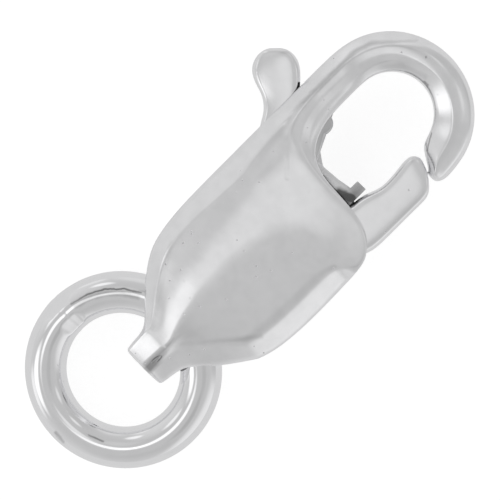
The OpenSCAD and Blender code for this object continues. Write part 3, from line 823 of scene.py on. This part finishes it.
# Painted on the ring: dark reflections along its top and at its bottom
RING_PAINTED_REFLECTIONS = (
    ((-2.55, -0.15), (-2.42, 0.38), 0.05, 0.45, 0.80),
    ((-2.42, 0.38), (-2.18, 0.80), 0.05, 0.80, 0.88),
    ((-2.18, 0.80), (-1.82, 1.17), 0.05, 0.88, 0.88),
    ((-1.82, 1.17), (-1.42, 1.42), 0.05, 0.88, 0.60),
    ((0.34, -2.37), (0.74, -2.21), 0.045, 0.35, 0.60),
    ((-0.36, -2.97), (-0.04, -3.00), 0.08, 0.45, 0.35),
    ((-2.42, -0.10), (-2.31, 0.33), 0.12, 0.30, 0.38),
    ((-2.31, 0.33), (-2.09, 0.72), 0.12, 0.38, 0.38),
    ((-2.09, 0.72), (-1.76, 1.05), 0.12, 0.38, 0.38),
    ((-1.76, 1.05), (-1.40, 1.28), 0.12, 0.38, 0.30),
)
# Painted on the spring: shade on its square end, at its foot and along its top edge
SPRING_PAINTED_SHADE = (
    ((0.82, 7.00), (0.80, 7.80), 0.34, 0.90, 0.42),
    ((0.48, 7.18), (0.84, 7.32), 0.22, 1.4, 1.6),
    ((-0.66, 7.40), (0.55, 7.49), 0.05, 0.5, 0.5),
)
SCRATCH = (((-1.42, 7.02), (-0.80, 6.45), 0.09, 0.8, 0.8),)


def metal(name):
    """Starts a metal, and returns its material, its tree and its shader's inputs."""
    material = bpy.data.materials.new(name)
    tree = nodes_of(material)
    shader = put(tree, "ShaderNodeBsdfPrincipled", 300, 0, Metallic=1.0)
    out = put(tree, "ShaderNodeOutputMaterial", 600, 0)
    feed(tree, shader.outputs["BSDF"], out.inputs["Surface"])
    return material, tree, shader.inputs


def silver(name, settings, worn, haze, painted_shade=(), scratches=(), above=MID_Z, marked=False, dulled=False):
    """Polished silver, with the shared wear at its own strength, and painted shade and scratches above a height.

    marked takes more painted shade from the piece's attribute "inside", and dulled takes its dull parts from "dull".
    """
    material, tree, inputs = metal(name)
    group = put(tree, "ShaderNodeGroup", -500, 0, node_tree=shared("Silver wear", wear))
    for key, value in (("Pits", worn), ("Marks", worn if worn > RUBBED else FAINT), ("Waves", worn), ("Haze", haze)):
        group.inputs[key].default_value = value
    colour = blend(tree, 0, 200, group.outputs["Tone"], (*settings.silver_colour, 1), (*settings.tarnish_colour, 1))
    # Painted shade from the piece's "inside" attribute
    mark = put(tree, "ShaderNodeAttribute", -300, 500, attribute_name="inside").outputs["Fac"] if marked else None
    painted_shade_mask = streaks(tree, painted_shade, above, mark)
    # The painted shade blends the colour towards the dark shade colour
    if painted_shade_mask is not None:
        colour = blend(tree, 150, 300, painted_shade_mask, colour, (*settings.painted_shade_colour, 1))
    if dulled:
        dull = put(tree, "ShaderNodeAttribute", -300, -600, attribute_name="dull").outputs["Fac"]
        feed(tree, remap(tree, 0, -600, dull, 0, 1, 1.0, DULL_METAL), inputs["Metallic"])
    height = group.outputs["Height"]
    if scratches:
        height = maths(tree, "MULTIPLY_ADD", -200, -300, streaks(tree, scratches, above), SCRATCH_DEPTH, height)
    bump = put(tree, "ShaderNodeBump", 0, -300, Strength=1.0, Distance=1.0)
    feed(tree, height, bump.inputs["Height"])
    feed(tree, colour, inputs["Base Color"])
    feed(tree, group.outputs["Roughness"], inputs["Roughness"])
    feed(tree, bump.outputs["Normal"], inputs["Normal"])
    return material


def steel(name, settings):
    """Spring steel, with a fine grain, and shade painted at its foot, on its square end and along its top edge."""
    material, tree, inputs = metal(name)
    place = put(tree, "ShaderNodeTexCoord", -700, 0).outputs["Object"]
    grain = noise(tree, -500, 0, place, GRAIN)
    darker = [0.85 * value for value in settings.steel_colour]
    colour = blend(tree, 0, 200, grain, (*settings.steel_colour, 1), (*darker, 1))
    # Painted shade darkens the spring's square end, its foot and its top edge
    colour = blend(tree, 150, 300, streaks(tree, SPRING_PAINTED_SHADE, 0), colour, (*settings.painted_shade_colour, 1))
    feed(tree, colour, inputs["Base Color"])
    feed(tree, remap(tree, -300, -200, grain, 0.3, 0.7, 0.18, 0.30), inputs["Roughness"])
    return material


def screen(right, up, high):
    """A direction in the row frame from the photograph's right, up and towards the camera."""
    turn = math.sqrt(0.5)
    return Vector(((right - up) * turn, (right + up) * turn, high)).normalized()


# The tent's light at the horizon, and how high up it has become the light overhead
HORIZON_LIGHT, TENT_HIGH = 0.64, 0.85

# Soft boxes and dark cards round the clasp, by the tilt that a surface needs to mirror them: how far its normal
# leans to the photograph's right and up, the card's inner and outer radius in degrees, and its light
CARDS = (
    (-0.02, 0.00, 3, 10, 0.25),
    (-0.13, -0.05, 2, 8.5, 0.54),
    (-0.22, -0.085, 3, 10, 0.58),
    (-0.14, 0.17, 3, 14, 0.06),
    (-0.44, -0.16, 5, 16, 0.64),
    (-0.60, -0.24, 5, 16, 0.30),
    (0.19, 0.22, 1, 8, 0.26),
    (0.36, 0.05, 2, 10, 0.22),
    (-0.24, 0.42, 3, 10, 0.35),
    (-0.34, 0.60, 4, 14, 0.16),
    (0.05, 0.66, 6, 24, 0.09),
    (0.66, 0.05, 8, 30, -0.10),
    (-0.02, 0.19, 1, 7, -0.15),
    (0.42, 0.42, 10, 40, -0.06),
    (0.15, -0.15, 4, 14, -0.06),
    (0.05, -0.28, 3, 12, -0.10),
    (0.48, -0.48, 10, 40, 0.20),
    (-0.05, -0.55, 10, 30, -0.05),
    (-0.45, 0.30, 10, 34, 0.08),
    (-0.42, 0.10, 3, 10, 0.34),
)


def make_world(settings):
    """Hangs a pale tent round the clasp, brighter low down, with soft boxes and dark cards on it."""
    world = bpy.data.worlds.new("studio")
    bpy.context.scene.world = world
    tree = nodes_of(world)
    place = put(tree, "ShaderNodeTexCoord", -900, 0).outputs["Generated"]
    split = put(tree, "ShaderNodeSeparateXYZ", -700, 200)
    feed(tree, place, split.inputs["Vector"])
    overhead = settings.tent_light
    total = remap(tree, -500, 200, split.outputs["Z"], 0, TENT_HIGH, HORIZON_LIGHT, overhead, "SMOOTHSTEP")
    for row, (right, up, inner, outer, light) in enumerate(CARDS):
        y = -260 * row
        normal = Vector((right, up, math.sqrt(max(0, 1 - right * right - up * up))))
        mirrored = 2 * normal.z * normal - Vector((0, 0, 1))
        near = vector_maths(tree, "DOT_PRODUCT", -600, y, place, screen(*mirrored))
        edge, core = math.cos(math.radians(outer)), math.cos(math.radians(inner))
        card = remap(tree, -400, y, near, edge, core, 0, light, "SMOOTHSTEP")
        total = maths(tree, "ADD", -150, y, card, total)
    background = put(tree, "ShaderNodeBackground", 200, 0)
    out = put(tree, "ShaderNodeOutputWorld", 400, 0)
    feed(tree, total, background.inputs["Color"])
    feed(tree, background.outputs["Background"], out.inputs["Surface"])


def make_floor(settings):
    """Lays a pale glowing floor, as on a light table. The metal mirrors it greyer than the camera sees it."""
    floor = add("floor", bpy.ops.mesh.primitive_plane_add, size=2, location=(0, 0, 0))
    material = bpy.data.materials.new("floor_white")
    tree = nodes_of(material)
    seen = put(tree, "ShaderNodeBsdfPrincipled", 0, 200, Roughness=0.8)
    for key, value in (("Base Color", (*settings.floor_colour, 1)), ("Specular IOR Level", 0.1),
                       ("Emission Color", (1, 1, 1, 1)), ("Emission Strength", settings.floor_glow)):
        seen.inputs[key].default_value = value
    mirrored = put(tree, "ShaderNodeEmission", 0, -200, Strength=settings.floor_mirrored)
    path = put(tree, "ShaderNodeLightPath", 0, 500)
    mix = put(tree, "ShaderNodeMixShader", 300, 0)
    out = put(tree, "ShaderNodeOutputMaterial", 500, 0)
    for source, socket in ((path.outputs["Is Camera Ray"], mix.inputs[0]), (mirrored.outputs[0], mix.inputs[1]),
                           (seen.outputs[0], mix.inputs[2]), (mix.outputs[0], out.inputs["Surface"])):
        feed(tree, source, socket)
    floor.data.materials.append(material)


# What the camera looks at, in millimetres in the row frame, how wide its view is there, and how it is turned
VIEW_X, VIEW_Y, VIEW_W = 0.509, -0.074, 13.70
VIEW_TURN = math.radians(45)


def make_camera(settings):
    """Looks straight down, as the photograph does, from far away."""
    data = bpy.data.cameras.new("camera")
    camera = bpy.data.objects.new("camera", data)
    bpy.context.scene.collection.objects.link(camera)
    data.lens = settings.lens
    data.sensor_width = 36
    distance = VIEW_W * MM * data.lens / data.sensor_width
    camera.location = (VIEW_X * MM, VIEW_Y * MM, distance + MID_Z * MM)
    camera.rotation_euler = (0, 0, VIEW_TURN)
    data.clip_start, data.clip_end = 0.002, 10
    bpy.context.scene.camera = camera


def colour_setting(name, description, colour):
    """A colour that can be set in the panel."""
    return FloatVectorProperty(name=name, description=description, subtype="COLOR", default=colour, min=0, max=1)


class ClaspLooks(bpy.types.PropertyGroup):
    """Sizes and colours of the clasp."""

    smoothness: IntProperty(name="Smoothness", description="Levels of smoothing on the cast pieces", default=2,
                            min=1, max=3)
    silver_colour: colour_setting("Silver", "Colour of the polished silver", (0.93, 0.93, 0.94))
    tarnish_colour: colour_setting("Pits", "Colour in the pits", (0.66, 0.66, 0.67))
    # The dark colour painted for shade and dark reflections: in the slot, on the streaks and by the tail
    painted_shade_colour: colour_setting("Inside", "Colour of the soot, and of the slot's unpolished inside",
                                  (0.15, 0.15, 0.15))
    steel_colour: colour_setting("Steel", "Colour of the spring", (0.93, 0.93, 0.94))


class ClaspStudio(bpy.types.PropertyGroup):
    """Light, floor and camera."""

    tent_light: FloatProperty(name="Tent", description="Light of the tent overhead", default=0.55, min=0, max=2)
    floor_glow: FloatProperty(name="Glow", description="Light that comes through the floor", default=0.75, min=0,
                              max=2)
    floor_mirrored: FloatProperty(name="Mirrored", description="The floor's light as the metal mirrors it",
                                  default=0.68, min=0, max=2)
    floor_colour: colour_setting("Floor", "Colour of the floor", (0.50, 0.50, 0.50))
    lens: FloatProperty(name="Lens", description="Focal length of the camera", default=400, min=50, max=600,
                        unit="CAMERA")


class CLASP_OT_claw(bpy.types.Operator):
    """Model the claw: plates, shank, hook and tail eye"""

    bl_idname = "clasp.claw"
    bl_label = "Claw"

    def execute(self, context):
        make_claw(context.scene.clasp_looks)
        return {"FINISHED"}


class CLASP_OT_lever(bpy.types.Operator):
    """Model the trigger lever: knob, stem, hub and gate"""

    bl_idname = "clasp.lever"
    bl_label = "Lever"

    def execute(self, context):
        make_lever(context.scene.clasp_looks)
        return {"FINISHED"}


class CLASP_OT_pin(bpy.types.Operator):
    """Model the pin that the lever turns on"""

    bl_idname = "clasp.pin"
    bl_label = "Pin"

    def execute(self, context):
        make_pin(context.scene.clasp_looks)
        return {"FINISHED"}


class CLASP_OT_spring(bpy.types.Operator):
    """Model the strip spring beside the gate"""

    bl_idname = "clasp.spring"
    bl_label = "Spring"

    def execute(self, context):
        make_spring(context.scene.clasp_looks)
        return {"FINISHED"}


class CLASP_OT_ring(bpy.types.Operator):
    """Model the closed jump ring"""

    bl_idname = "clasp.ring"
    bl_label = "Jump ring"

    def execute(self, context):
        make_ring(context.scene.clasp_looks)
        return {"FINISHED"}


class CLASP_OT_stage(bpy.types.Operator):
    """Set up the pale floor, the light tent and the camera"""

    bl_idname = "clasp.stage"
    bl_label = "Stage"

    def execute(self, context):
        settings = context.scene.clasp_studio
        make_world(settings)
        make_floor(settings)
        make_camera(settings)
        context.scene.view_settings.view_transform = "Standard"
        return {"FINISHED"}


class CLASP_PT_panel(bpy.types.Panel):
    """Buttons and settings for the clasp"""

    bl_idname = "CLASP_PT_panel"
    bl_label = "Lobster clasp"
    bl_space_type = "VIEW_3D"
    bl_region_type = "UI"
    bl_category = "Clasp"

    def draw(self, context):
        for operator in OPERATORS:
            self.layout.operator(operator.bl_idname)
        for group in (context.scene.clasp_looks, context.scene.clasp_studio):
            for name in group.bl_rna.properties.keys():
                if name not in ("rna_type", "name"):
                    self.layout.prop(group, name)


OPERATORS = (CLASP_OT_claw, CLASP_OT_lever, CLASP_OT_pin, CLASP_OT_spring, CLASP_OT_ring, CLASP_OT_stage)
CLASSES = (ClaspLooks, ClaspStudio, *OPERATORS, CLASP_PT_panel)


def register():
    for cls in CLASSES:
        bpy.utils.register_class(cls)
    bpy.types.Scene.clasp_looks = PointerProperty(type=ClaspLooks)
    bpy.types.Scene.clasp_studio = PointerProperty(type=ClaspStudio)


def unregister():
    del bpy.types.Scene.clasp_studio
    del bpy.types.Scene.clasp_looks
    for cls in reversed(CLASSES):
        bpy.utils.unregister_class(cls)


def main():
    register()
    bpy.ops.clasp.claw()
    bpy.ops.clasp.lever()
    bpy.ops.clasp.pin()
    bpy.ops.clasp.spring()
    bpy.ops.clasp.ring()
    bpy.ops.clasp.stage()


if __name__ == "__main__":
    main()
